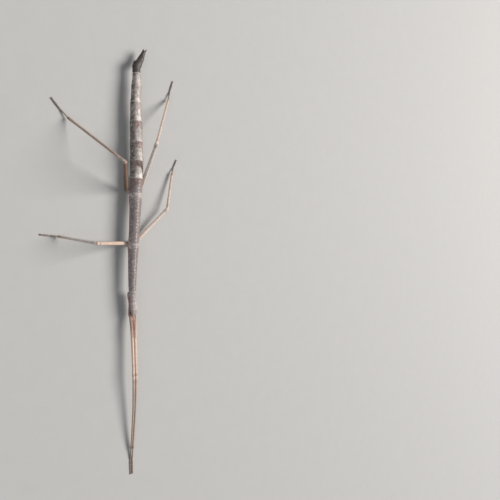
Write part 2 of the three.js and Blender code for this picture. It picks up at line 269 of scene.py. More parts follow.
def body_part():
    rows = []
    for _, front, back, _, _ in SEGMENTS:
        inner = np.linspace(front + 0.3, back - 0.5, max(6, int((back - front) / ROW_SPACING)))
        rows.append(np.concatenate([front + FRONT_ROWS, inner, back - BACK_ROWS]))
    y = np.concatenate(rows)
    seg = np.concatenate([np.full(len(r), k) for k, r in enumerate(rows)])
    y0, y1, w0, w1 = np.array([s[1:] for s in SEGMENTS])[seg].T
    u = (y - y0) / (y1 - y0)
    a, b = y - y0, y1 - y
    wide = w0 + (w1 - w0) * u
    wide = wide * (1 - 0.012 * np.sin(math.pi * np.clip(u * 1.3, 0, 1)))
    flare = 0.09 * bump(b, 0.22, 0.4) + 0.03 * bump(b, 0.8, 0.9)
    lip = -0.15 * np.exp(-a / 0.18) + 0.17 * bump(a, 0.5, 0.55) * (y > 0)
    wide = wide + flare + lip - 0.34 * np.exp(-b / 0.035)
    hips = np.where(seg == 1, bump(y, -20, 1.75), 0) + np.where(seg == 2, bump(y, -3.4, 1.75), 0)
    wide = wide + 0.22 * hips
    # Waist between the front and back half of the prothorax, and the rounded tail end.
    wide = wide - np.where(seg == 0, 0.16 * bump(u, 0.45, 0.06), 0)
    close = np.clip((TAIL_END - y) / 0.7, 0.02, 1)
    wide = wide * np.sqrt(1 - (1 - close) ** 2)
    angles = body_angles(BODY_SIDES)
    top = from_top(angles)[None]
    Y, A, B = y[:, None], a[:, None], b[:, None]
    first, second = (seg == 1)[:, None], (seg == 2)[:, None]
    thorax = np.isin(seg, (1, 2))[:, None].astype(float)
    abdomen = (seg >= 3)[:, None].astype(float)
    tail = ramp(y, 39.0, 40.0)[:, None]
    inside = np.clip(np.minimum(A, B) / 0.5, 0, 1)
    relief = 0.055 * bump(top, 0, 0.07) * (thorax + 0.5 * abdomen * (1 - tail)) * inside
    relief = relief - 0.05 * bump(top, 0, 0.07) * (seg == 0)[:, None] * inside
    relief = relief - 0.085 * bump(top, FOLD_TURN, 0.07) * (abdomen * (1 - 0.6 * tail) + 0.7 * thorax)
    relief = relief + 0.05 * bump(top, 1.72, 0.09) * (abdomen + thorax)
    relief = relief + 0.045 * bump(top, RIDGE_TURN, 0.09) * thorax
    relief = relief - 0.04 * bump(top, BELLY_TURN, 0.10) * (abdomen + thorax)
    points = spine(y)
    tangent = unit(spine(y + 0.1) - spine(y - 0.1))
    half = wide / 2
    ring = points[:, None] + half[:, None, None] * circle(angles)[None]
    # Granules on the thorax and fewer, flatter ones on the abdomen, and a soft pucker over all.
    signed = np.angle(np.exp(1j * (angles - math.pi / 2)))
    grains = np.zeros((len(y), BODY_SIDES))
    for py, turn_at, size in granule_places():
        near = np.abs(y - py) < 3 * size
        across = (np.angle(np.exp(1j * (signed - turn_at))))[None] * half[near][:, None]
        lump = np.exp(-((y[near][:, None] - py) ** 2 + across ** 2) / size ** 2)
        grains[near] = np.maximum(grains[near], lump * min(size / 0.21, 1))
    grains = grains * inside
    relief = relief + 0.062 * grains * (1 - 0.5 * abdomen)
    pucker = 0.018 * value_noise(ring, 0.8, 5) + 0.012 * value_noise(ring * [1, 0.4, 1], 0.3, 8)
    relief = relief + pucker * inside
    # Shoulder lobes over the leg bases.
    lobe = 0.10 * bump(Y, -18.9, 1.3) * first + 0.1 * bump(Y, -2.6, 1.3) * second
    relief = relief + bump(top, 1.75, 0.35) * lobe
    upper = np.sin(angles)[None] > 0
    belly = 0.95 - 0.33 * ramp(y, 39.9, 40.6)
    tall = half[:, None] * BODY_ROUNDNESS * np.where(upper, 1, belly[:, None])
    # Colour masks: dark end and pale front of each ring, and the granules.
    strength = np.array([0, 0.0, 0.35, 0.9, 1.0, 0.95, 0.9, 0.3, 0.2, 0, 0, 0, 0])[seg][:, None]
    dark = strength * ramp(B, 3.0, 1.7)
    strength = np.array([0, 0, 0, 0, 1, 1, 1, 0.9, 0.85, 0.5, 0, 0, 0])[seg][:, None]
    pale = strength * ramp(A, np.where(seg < 7, 4.6, 9.0)[:, None], 0.4)
    rim = 0.8 * bump(A, 0.1, 0.2) * (seg > 0)[:, None] + 0.9 * bump(Y, 39.15, 0.22)
    # Pale lines that run from the leg bases up and forward over the back, and a ring between them.
    for base in (-16.9, -17.9, -0.5):
        line = base - 1.8 * (2.0 - top)
        rim = np.maximum(rim, 1.1 * bump(Y, line, 0.3) * ramp(top, 2.2, 2.0) * ramp(top, 0.7, 0.95))
    rim = np.maximum(rim, 0.8 * bump(Y, -1.3, 0.25) * ramp(top, 1.0, 0.8))
    rim = rim * (1 - 0.85 * tail)
    return tube(points, tangent, (-1.0, 0, 0), half, tall, angles, relief, 2.0, dark=dark, pale=pale,
                kind=BODY, along=Y, round=signed[None], blush=np.maximum(grains, rim))


# ---------------------------------------------------------------- head
def skull_part():
    # Y, half width, half height and height of the middle.
    rows = np.array([
        [-38.2, 0.78, 0.78, 3.9], [-38.45, 0.86, 0.84, 3.9], [-38.62, 1.0, 0.95, 3.9],
        [-38.8, 1.08, 1.03, 3.9], [-39.4, 1.16, 1.1, 3.88], [-40.4, 1.2, 1.14, 3.86],
        [-41.4, 1.18, 1.11, 3.82], [-42.2, 1.09, 1.03, 3.77], [-42.8, 0.94, 0.92, 3.7],
        [-43.15, 0.77, 0.75, 3.63], [-43.35, 0.5, 0.5, 3.58], [-43.42, 0.2, 0.2, 3.56],
    ])
    t = np.concatenate([[0], np.cumsum(np.linalg.norm(np.diff(rows[:, :2], axis=0), axis=1))])
    fine = np.linspace(0, t[-1], 110)
    y, a, b, z = (np.interp(fine, t, rows[:, k]) for k in range(4))
    kernel = np.array([1, 4, 7, 8, 7, 4, 1]) / 32.0
    a[3:-3] = np.convolve(a, kernel, "valid")
    b[3:-3] = np.convolve(b, kernel, "valid")
    centres = spine(y)
    centres[:, 2] = z
    angles = even(80)
    top = from_top(angles)[None]
    Y = y[:, None]
    ring = centres[:, None] + a[:, None, None] * circle(angles)[None]
    # Middle furrow, the forked line between the eyes, brow ridges and the groove behind the cheek.
    fork = 0.75 * ramp(Y, -41.3, -42.6)
    relief = -0.05 * bump(top, 0, 0.06) * ramp(Y, -41.6, -41.2)
    relief = relief - 0.045 * bump(top, fork, 0.06) * ramp(Y, -41.2, -41.5)
    relief = relief + 0.07 * bump(top, 0.8, 0.2) * bump(Y, -42.1, 0.5)
    relief = relief - 0.07 * bump(top, 0, 0.3) * bump(Y, -42.55, 0.4)
    relief = relief - 0.04 * bump(top, 1.95, 0.06) * ramp(Y, -42.6, -42.0)
    relief = relief + 0.04 * bump(top, 0.42, 0.1) * ramp(Y, -41.4, -40.2)
    relief = relief - 0.05 * bump(Y, -39.15, 0.12) * ramp(top, 2.4, 2.0)
    relief = relief + 0.05 * bump(top, 1.45, 0.16) * bump(Y, -40.5, 0.8)
    relief = relief + np.clip(value_noise(ring, 0.27, 11) - 0.3, 0, 1) * 0.10 * ramp(top, 2.0, 1.5)
    relief = relief + 0.02 * value_noise(ring, 0.6, 13)
    # Dark stripe behind the eye, a fainter one along the middle and a bar over the mouth.
    stripe = bump(top, 1.62, 0.16) * ramp(Y, -41.9, -41.5)
    stripe = stripe + 0.6 * bump(top, 0, 0.12) * ramp(Y, -41.9, -41.3)
    stripe = np.maximum(stripe, 0.8 * bump(Y, -43.1, 0.12) * bump(top, 0.55, 0.3))
    pale = ramp(top, 1.4, 1.1) + 0.6 * bump(top, 2.0, 0.2)
    return tube(centres, np.tile(unit([0, -1, -0.08]), (len(y), 1)), (1.0, 0, 0), a, b, angles, relief, 2.2,
                dark=stripe, pale=pale, kind=HEAD, along=Y)


def head_parts():
    parts = [skull_part()]
    x0 = spine(-42.4)[0]
    eye = spine(EYE_Y) - [0, 0, EYE_DROP]
    for side in (-1, 1):
        # Raised rim round the eye, and the cup that holds the feeler.
        turn = even(48)
        out = side * (EYE_OUT + 0.06 + 0.05 * np.sin(turn))
        rim = eye + np.stack([out, EYE_LENGTH * np.cos(turn), EYE_HEIGHT * np.sin(turn)], -1)
        parts.append(hoop(rim, (side, 0, 0), 0.075, dark=0.15, pale=0.5, kind=HEAD, along=-42.0))
        cup = [(x0 + side * 0.4, -42.7, 4.07), (x0 + side * 0.41, -43.0, 4.17)]
        line, way = catmull(cup, 10)
        r = np.array([0.2, 0.27, 0.29, 0.3, 0.305, 0.31, 0.31, 0.3, 0.27, 0.2])
        parts.append(tube(line, way, (1.0, 0, 0), r, r, even(24),
                          dark=0.55, pale=0.2, kind=HEAD, along=-43.0))
    # Mouth from the front: face shield, upper lip, the jaws beside it and the lower lip.
    parts.append(blob((x0, -43.1, 3.3), (0.48, 0.42, 0.36), 0.35, squash=0.25))
    parts.append(blob((x0, -43.48, 3.14), (0.38, 0.28, 0.24), 0.6, squash=0.3))
    for side in (-1, 1):
        parts.append(blob((x0 + side * 0.3, -43.02, 2.98), (0.2, 0.48, 0.28), 0.75))
        parts.append(blob((x0 + side * 0.17, -42.85, 2.76), (0.19, 0.6, 0.16), 0.5))
    parts.append(blob((x0, -42.5, 2.9), (0.44, 0.75, 0.34), 0.3))
    long_palp = [(0.28, -42.8, 2.7), (0.36, -43.15, 2.5), (0.32, -43.6, 2.36), (0.27, -43.95, 2.26),
                 (0.2, -44.15, 2.12)]
    short_palp = [(0.12, -43.2, 2.64), (0.15, -43.5, 2.44), (0.11, -43.75, 2.3)]
    for side in (-1, 1):
        for points, r, joints in ((long_palp, 0.085, 5), (short_palp, 0.07, 3)):
            line, way = catmull([(x0 + side * x, y, z) for x, y, z in points], 40)
            u = np.linspace(0, 1, 40)
            v = u * joints % 1.0
            r_line = r * (0.78 + 0.3 * np.sin(v * math.pi) ** 0.6) * rounded(u, 1.6, 0.12)
            parts.append(tube(line, way, (0.2, 0, 1.0), r_line, r_line, even(12),
                              dark=(0.3 + 0.5 * (v < 0.16))[:, None], kind=HEAD, along=-43.5))
    return parts


def blob(centre, radii, dark, squash=0.0):
    """Egg shape along Y for the mouth; squash flattens its front."""
    u = -np.cos(np.linspace(0.04, math.pi - 0.04, 24))
    lengthways = -radii[1] * u * (1 - squash * (u > 0))
    centres = np.asarray(centre, float) + np.stack([0 * u, lengthways, 0 * u], -1)
    r = np.sqrt(1 - u ** 2)
    angles = even(32)
    relief = 0.012 * value_noise(centres[:, None] + circle(angles)[None], 0.3, 19)
    return tube(centres, np.tile([0.0, -1, 0], (24, 1)), (1.0, 0, 0), radii[0] * r, radii[2] * r, angles,
                relief * r[:, None], 2.2, dark=dark, kind=HEAD, along=-43.0)


def hoop(line, axis, r, **attributes):
    """A closed ring of small section round the axis, as one tube whose ends overlap."""
    line = np.concatenate([line, line[:3]])
    way = unit(np.gradient(line, axis=0))
    size = np.full(len(line), r)
    size[[0, -1]] = r * 0.5
    return tube(line, way, axis, size, size, even(10), **attributes)


def eyeball(side):
    """An upright ellipsoid of rings, a little flattened against the head."""
    centre = spine(EYE_Y) + [side * EYE_OUT, 0, -EYE_DROP]
    u = np.linspace(-1, 1, 40) * 0.999
    centres = centre + np.stack([0 * u, EYE_LENGTH * u, 0 * u], -1)
    r = np.sqrt(1 - u ** 2)
    way = np.tile([0.0, 1, 0], (len(u), 1))
    return tube(centres, way, (-1.0, 0, 0), EYE_WIDTH * r, EYE_HEIGHT * r, even(40))


def feeler(side):
    """Scape, pedicel and a flagellum of about twenty joints."""
    points = [(-1.44 + side * 0.4, -42.8, 4.1), (-1.48 + side * 0.45, -43.9, 4.4),
              (-1.6 + side * 0.4, -46.2, 4.42), (-1.66 + side * 0.4, -48.7, 4.46),
              (-1.68 + side * 0.46, -51.2, 4.54)]
    length = 8.6
    joints = [0.0, 0.95, 1.45] + list(1.45 + np.cumsum(0.28 + 0.012 * np.arange(18)))
    joints = np.array([j for j in joints if j < length - 0.2] + [length]) / length
    u = np.unique(np.concatenate([np.linspace(0, 1, 190), np.clip(joints - 0.003, 0, 1), joints]))
    centres, way = catmull(points, u)
    k = np.clip(np.searchsorted(joints, u, side="right") - 1, 0, len(joints) - 2)
    v = (u - joints[k]) / (joints[k + 1] - joints[k])
    r = np.where(k == 0, 0.235, np.where(k == 1, 0.165, 0.150 - 0.055 * u))
    r = r * (0.86 + 0.16 * np.sin(np.clip(v, 0, 1) * math.pi * 0.8)) * rounded(u, length, 0.12)
    ring = np.exp(-np.minimum(v, 1 - v) * (joints[k + 1] - joints[k]) * length / 0.05)
    return tube(centres, way, (1.0, 0, 0), r, r, even(16), dark=ring[:, None] * 0.8)


# ---------------------------------------------------------------- legs
def knee_of(hip, ankle, femur, tibia, swivel):
    line = ankle - hip
    span = np.linalg.norm(line)
    e = line / span
    a = (femur ** 2 - tibia ** 2 + span ** 2) / (2 * span)
    lift = math.sqrt(femur ** 2 - a ** 2)
    u = unit(np.array([0, 0, 1.0]) - e * e[2])
    w = np.cross(e, u)
    turn = math.radians(swivel)
    return hip + e * a + lift * (math.cos(turn) * u + math.sin(turn) * w)


def limb_part(points, side, values, length, sides, kind, dark, pale, ridge=0.05, ends=0.25, per_mm=4.0,
              squareness=2.4, blush=lambda u: 0 * u):
    """One leg joint: rings close together at both ends, and four low ridges along it."""
    close = ends / length * np.array([0.002, 0.04, 0.13, 0.28, 0.5, 0.75, 1.0])
    middle = np.linspace(close[-1] * 1.3, 1 - close[-1] * 1.3, max(8, int(length * per_mm)))
    u = np.concatenate([close, middle, 1 - close[::-1]])
    centres, way = catmull(points, u)
    r = blend(u, values) * np.where(np.minimum(u, 1 - u) * length < ends, rounded(u, length, ends), 1)
    angles = even(sides)
    corner = np.cos(2 * (angles - math.pi / 4)) ** 8
    relief = (ridge * r / r.max())[:, None] * corner[None]
    near = centres[:, None] + r[:, None, None] * circle(angles)[None, :, [0, 2, 1]]
    relief = relief + 0.02 * value_noise(near, 0.45, 17) * (r / r.max())[:, None]
    return tube(centres, way, side, r, r, angles, relief, squareness, dark=dark(u)[:, None],
                pale=pale(u)[:, None], kind=kind, blush=blush(u)[:, None])


def tooth(base, tip, r):
    """A small dark cone on the femur."""
    way = unit(tip - base)
    side = unit(np.cross(way, (0.3, 0.2, 0.9)))
    u = np.linspace(0, 1, 5)
    centres = base + (tip - base) * u[:, None]
    return tube(centres, np.tile(way, (5, 1)), side, r * (1.04 - u), r * (1.04 - u), even(6),
                dark=0.9, kind=FEMUR)


def tarsus_part(ankle, tip, side, r0):
    """Five foot joints: a long first one that comes down from the ankle, and four along the floor."""
    def at(u, z):
        return np.array([*(ankle + (tip - ankle) * u)[:2], z])

    line = [ankle, at(0.22, 0.62), at(0.45, SOLE + 0.02), at(0.7, SOLE), at(1.0, SOLE)]
    length = float(np.linalg.norm(tip - ankle))
    cuts = np.array([0.0, 0.43, 0.61, 0.735, 0.82, 1.0])
    joints = [np.linspace(a, b, 12 if b - a > 0.3 else 8) for a, b in zip(cuts[:-1], cuts[1:])]
    u = np.unique(np.concatenate(joints + [cuts[1:-1] - 0.006, cuts[1:-1] + 0.006]))
    centres, way = catmull(line, u)
    k = np.clip(np.searchsorted(cuts, u, side="right") - 1, 0, 4)
    v = (u - cuts[k]) / (cuts[k + 1] - cuts[k])
    base = np.array([0.9, 0.92, 0.95, 0.98, 0.8])[k] * r0
    crease = np.exp(-np.minimum(v, 1 - v) * (cuts[k + 1] - cuts[k]) * length / 0.035)
    r = base * (0.82 + 0.22 * v ** 1.5) * (1 - 0.3 * crease)
    r = r * rounded(np.clip(u, 0.002, 0.998), length, 0.18)
    angles = even(14)
    sole = np.where(v > 0.55, 1, 0) * np.where(k < 4, 1, 0)
    down = np.clip(-np.sin(angles), 0, 1)[None] ** 2
    relief = 0.05 * down * (sole * np.sin(np.clip((v - 0.55) / 0.45, 0, 1) * math.pi))[:, None]
    part = tube(centres, way, side, r * 1.05, r, angles, relief, 2.1,
                dark=(0.45 + 0.4 * u)[:, None], kind=TARSUS)
    part.points[:, 2] = np.maximum(part.points[:, 2], 0.0)
    return part


def foreleg_shape(side):
    """Joints and radii of a foreleg: bowed round the head, then straight ahead beside the other."""
    def trace(line):
        return [np.array([x + side * out, y, z]) for y, x, out, z in line]

    femur, tibia = trace(FORE_FEMUR_LINE), trace(FORE_TIBIA_LINE)
    hip, knee, ankle = femur[0], femur[-1], tibia[-1]
    tibia[-1] = ankle + unit(ankle - tibia[-2]) * 0.35
    inner = np.array([spine(-36)[0] + side * 0.54, -35.1, 3.05])
    ahead = np.array([-1.0, 0, 0])
    return dict(
        hip=hip, knee=knee, ankle=ankle, tip=np.array([ankle[0] + side * 0.03, FORE_TIP_Y, ankle[2]]),
        hinge=ahead, foot=ahead, sides=24, foot_r=0.26,
        coxa=[inner, hip + [0, -0.35, 0]], coxa_side=(side, -1.0, 0), coxa_r=[0.6, 0.68, 0.6, 0.52, 0.46],
        femur=femur, femur_length=30.5,
        femur_r=[0.42, 0.38, 0.45, 0.6, 0.54, 0.49, 0.45, 0.44, 0.43, 0.42, 0.45],
        tibia=tibia, tibia_length=27.3, tibia_r=[0.37, 0.31, 0.28, 0.27, 0.26, 0.27],
    )


def standing_leg_shape(leg):
    """Joints and radii of a middle or hind leg, from its hip and its ankle on the floor plan."""
    side = leg["side"]
    middle = spine(leg["hip_y"])
    hip = np.array([middle[0] + side * leg["hip"][0], leg["hip_y"], leg["hip"][1]])
    ankle = np.array([*leg["ankle"], ANKLE_HEIGHT])
    knee = knee_of(hip, ankle, leg["femur"], leg["tibia"], leg["swivel"])
    turn = math.radians(leg["heading"])
    tip = ankle + np.array([math.cos(turn), math.sin(turn), 0]) * leg["tarsus"]
    thigh, shin = unit(knee - hip), unit(ankle - knee)
    inner = np.array([middle[0] + side * 1.2, leg["hip_y"] - 0.5, 2.6])
    return dict(
        hip=hip, knee=knee, ankle=ankle, tip=tip, sides=28, foot_r=0.28,
        hinge=unit(np.cross(thigh, shin)), foot=unit(np.cross(tip - ankle, (0, 0, 1.0))),
        coxa=[inner, hip + thigh * 0.35], coxa_side=(0, 1.0, 0), coxa_r=[0.95, 0.9, 0.8, 0.68],
        femur=[hip - thigh * 0.1, knee + thigh * 0.35], femur_length=leg["femur"] + 0.4,
        femur_r=[leg["thick"] * k for k in (0.9, 1.0, 1.0, 0.92, 0.85, 0.82, 0.95)],
        tibia=[knee - shin * 0.05, ankle + shin * 0.3], tibia_length=leg["tibia"],
        tibia_r=[leg["shin"] * k for k in (1.05, 1.0, 0.95, 0.92, 0.9, 1.0)],
    )


def foot_claws(ankle, tip, foot):
    """Two claws and the pad between them."""
    way = unit((tip - ankle) * [1, 1, 0])
    end = np.array([tip[0], tip[1], SOLE])
    down = np.array([0, 0, -1.0])
    claws = []
    for s in (-1, 1):
        out = foot * s
        line, dirs = catmull([end - way * 0.1 + out * 0.08, end + way * 0.16 + out * 0.2 - down * 0.06,
                              end + way * 0.36 + out * 0.3 + down * 0.02,
                              end + way * 0.44 + out * 0.33 + down * 0.17], 12)
        u = np.linspace(0, 1, 12)
        r = 0.07 * (1.03 - u) ** 0.7
        claws.append(tube(line, dirs, (0, 0, 1.0), r, r, even(8)))
    line, dirs = catmull([end - way * 0.1, end + way * 0.14 + down * 0.05,
                          end + way * 0.26 + down * 0.1], 10)
    r = np.array([0.08, 0.11, 0.13, 0.14, 0.15, 0.15, 0.15, 0.13, 0.09, 0.02])
    pad = tube(line, dirs, foot, r * 1.15, r * 0.75, even(12))
    pad.points[:, 2] = np.maximum(pad.points[:, 2], 0.004)
    return claws + [pad]


def knee_teeth(shape, thick):
    """Small teeth in two rows under the femur before the knee."""
    knee, hinge = shape["knee"], shape["hinge"]
    along = unit(knee - shape["hip"])
    below = unit(np.cross(hinge, along))
    if below[2] > 0:
        below = -below
    teeth = []
    for k, back in enumerate((1.3, 2.2, 3.2)):
        for s in (-1, 1):
            base = knee - along * back + below * thick * 0.62 + hinge * s * thick * 0.45
            teeth.append(tooth(base, base + below * (0.3 - 0.05 * k) + along * 0.12, 0.1))
    return teeth


def leg_parts(name, leg):
    """Coxa, femur, tibia, foot and teeth of one leg, and its claws as a list of their own."""
    fore = name.startswith("fore")
    shape = foreleg_shape(leg["side"]) if fore else standing_leg_shape(leg)
    hinge, foot, ankle, tip = shape["hinge"], shape["foot"], shape["ankle"], shape["tip"]
    fem, tib = shape["femur_length"], shape["tibia_length"]
    # tone is painted shade, and light a painted highlight, laid into the leg's own colour.
    painted_shade = leg.get("painted_shade", 0.0)
    tan = leg.get("tan", 0.42 * painted_shade)
    painted_light_femur, painted_light_tibia = leg.get("light", (0.0, 0.0))

    def coxa_dark(u):
        return 0.3 * bump(u, 0.75, 0.06)

    def coxa_pale(u):
        return 0.5 * ramp(u, 0.5, 0.9)

    def femur_dark(u):
        joint, knee = 0.35 * bump(u * fem, 0.9, 0.12), 0.5 * bump((1 - u) * fem, 1.5, 0.5)
        # tone lays painted shade over the femur; the rings at its base and before the knee are dark in
        # their own colour.
        return 1.02 * painted_shade * ramp(u, 1.1, 0.9) + joint + knee

    def femur_pale(u):
        # The leg's light value adds a painted highlight to the femur.
        return 0.25 * ramp((1 - u) * fem, 1.1, 0) + painted_light_femur

    def femur_blush(u):
        return 0.55 * ramp(u * fem, 16, 10) + 0.4 * ramp(u * fem, 9, 6) if fore else 0 * u

    def tibia_dark(u):
        knee, end = 0.3 * bump(u * tib, 1.4, 0.5), 0.4 * ramp((1 - u) * tib, 1.6, 0.3)
        return tan * ramp(u, -0.1, 0.25) + knee + end

    def tibia_pale(u):
        # The leg's light value adds a painted highlight along the upper tibia.
        return 0.25 * ramp(u * tib, 1.0, 0.2) + painted_light_tibia * ramp(u, 1.0, 0.6)

    parts = [
        limb_part(shape["coxa"], shape["coxa_side"], shape["coxa_r"], COXA_LENGTH, 28, COXA,
                  coxa_dark, coxa_pale, ridge=0.02, ends=0.5, per_mm=12, squareness=2.05),
        limb_part(shape["femur"], hinge, shape["femur_r"], fem, shape["sides"], FEMUR,
                  femur_dark, femur_pale, ridge=0.055, ends=0.45, blush=femur_blush),
        limb_part(shape["tibia"], hinge, shape["tibia_r"], tib, 20, TIBIA,
                  tibia_dark, tibia_pale, ridge=0.04, ends=0.36),
        tarsus_part(ankle, tip, foot, shape["foot_r"]),
    ]
    if not fore:
        parts += knee_teeth(shape, leg["thick"])
    return parts, foot_claws(ankle, tip, foot)


def tail_parts():
    parts = []
    # Plate under the last rings: Y, half width, half height and height of its middle.
    rows = np.array([
        [40.4, 0.3, 0.2, 2.62], [40.6, 0.62, 0.42, 2.58], [41.2, 0.92, 0.62, 2.45],
        [42.8, 1.05, 0.74, 2.3], [44.6, 0.88, 0.66, 2.25], [46.0, 0.55, 0.45, 2.3],
        [46.6, 0.33, 0.3, 2.34], [46.8, 0.12, 0.12, 2.36],
    ])
    y = np.linspace(rows[0, 0], rows[-1, 0], 60)
    a, b, z = (np.interp(y, rows[:, 0], rows[:, k]) for k in (1, 2, 3))
    centres = spine(y)
    centres[:, 2] = z
    way = unit(spine(y + 0.1) - spine(y - 0.1))
    angles = even(40)
    keel = 0.08 * bump(from_top(angles)[None], math.pi, 0.12)
    relief = keel + 0.02 * value_noise(centres[:, None] + circle(angles)[None], 0.4, 23)
    parts.append(tube(centres, way, (-1.0, 0, 0), a, b, angles, relief, 2.0,
                      dark=0.9, kind=BODY, along=y[:, None]))
    tip = spine(46.7)
    for side in (-1, 1):
        line, dirs = catmull([tip + [side * 0.25, -0.2, 0.05], tip + [side * 0.62 + 0.6, 1.25, -0.1]], 18)
        u = np.linspace(0, 1, 18)
        r = 0.26 * (1 - 0.35 * u) * rounded(u, 1.4, 0.3)
        parts.append(tube(line, dirs, (1.0, 0, 0), r, r, even(16), dark=0.7, kind=BODY, along=47.0))
    return parts


# ---------------------------------------------------------------- making meshes
def to_mesh(name, part):
    mesh = bpy.data.meshes.new(name)
    points = (part.points + SHIFT) * MM
    mesh.from_pydata([tuple(p) for p in points], [], part.faces)
    mesh.validate()
    obj = bpy.data.objects.new(name, mesh)
    bpy.context.scene.collection.objects.link(obj)
    return obj


def join(parts):
    """Several parts in one mesh without a union."""
    whole = Part.__new__(Part)
    whole.points = np.concatenate([p.points for p in parts])
    whole.faces = []
    start = 0
    for p in parts:
        whole.faces += [[start + i for i in f] for f in p.faces]
        start += len(p.points)
    whole.values = {n: np.concatenate([p.values[n] for p in parts]) for n in ATTRIBUTES}
    return whole


def union(name, parts):
    """One closed skin out of overlapping parts, with each part's attributes carried over."""
    first = to_mesh(name, parts[0])
    group = bpy.data.collections.new(name + "_parts")
    bpy.context.scene.collection.children.link(group)
    others = []
    for k, part in enumerate(parts[1:]):
        other = to_mesh(f"{name}_{k}", part)
        bpy.context.scene.collection.objects.unlink(other)
        group.objects.link(other)
        others.append(other)
    cut = first.modifiers.new("union", "BOOLEAN")
    cut.operation = "UNION"
    cut.operand_type = "COLLECTION"
    cut.collection = group
    cut.solver = "MANIFOLD"
    graph = bpy.context.evaluated_depsgraph_get()
    mesh = bpy.data.meshes.new_from_object(first.evaluated_get(graph))
    first.modifiers.clear()
    first.data = mesh
    for other in others:
        bpy.data.objects.remove(other)
    bpy.data.collections.remove(group)
    everything = join(parts)
    tree = kdtree.KDTree(len(everything.points))
    for i, p in enumerate((everything.points + SHIFT) * MM):
        tree.insert(p, i)
    tree.balance()
    nearest = np.array([tree.find(v.co)[1] for v in mesh.vertices])
    values = {a: everything.values[a][nearest] for a in ATTRIBUTES}
    values["place"] = np.array([v.co for v in mesh.vertices]) / MM - SHIFT
    return first, values


def store(mesh, name, values):
    layer = mesh.attributes.new(name, "FLOAT", "POINT")
    layer.data.foreach_set("value", np.asarray(values, np.float32))


def smooth(obj):
    obj.data.shade_smooth()
    return obj


# ---------------------------------------------------------------- colours of the skin
ROSE = np.array([0.225, 0.166, 0.155])
# Cool grey of the painted sky shade on the thorax.
SKY_SHADE_SLATE = np.array([0.200, 0.178, 0.184])
OLIVE = np.array([0.115, 0.101, 0.088])
RUST = np.array([0.215, 0.108, 0.090])
CREAM = np.array([0.80, 0.725, 0.68])
DUSK = np.array([0.40, 0.335, 0.315])
UMBER = np.array([0.036, 0.025, 0.023])
HEAD_PALE = np.array([0.48, 0.405, 0.385])
LEG = np.array([0.68, 0.505, 0.405])
LEG_RED = np.array([0.40, 0.205, 0.165])
LEG_DARK_AND_SHADE = np.array([0.155, 0.080, 0.050])
SHIN = np.array([0.64, 0.49, 0.39])
FOOT = np.array([0.27, 0.21, 0.17])


def mix(a, b, f):
    return a + (b - a) * np.clip(f, 0, 1)[:, None]


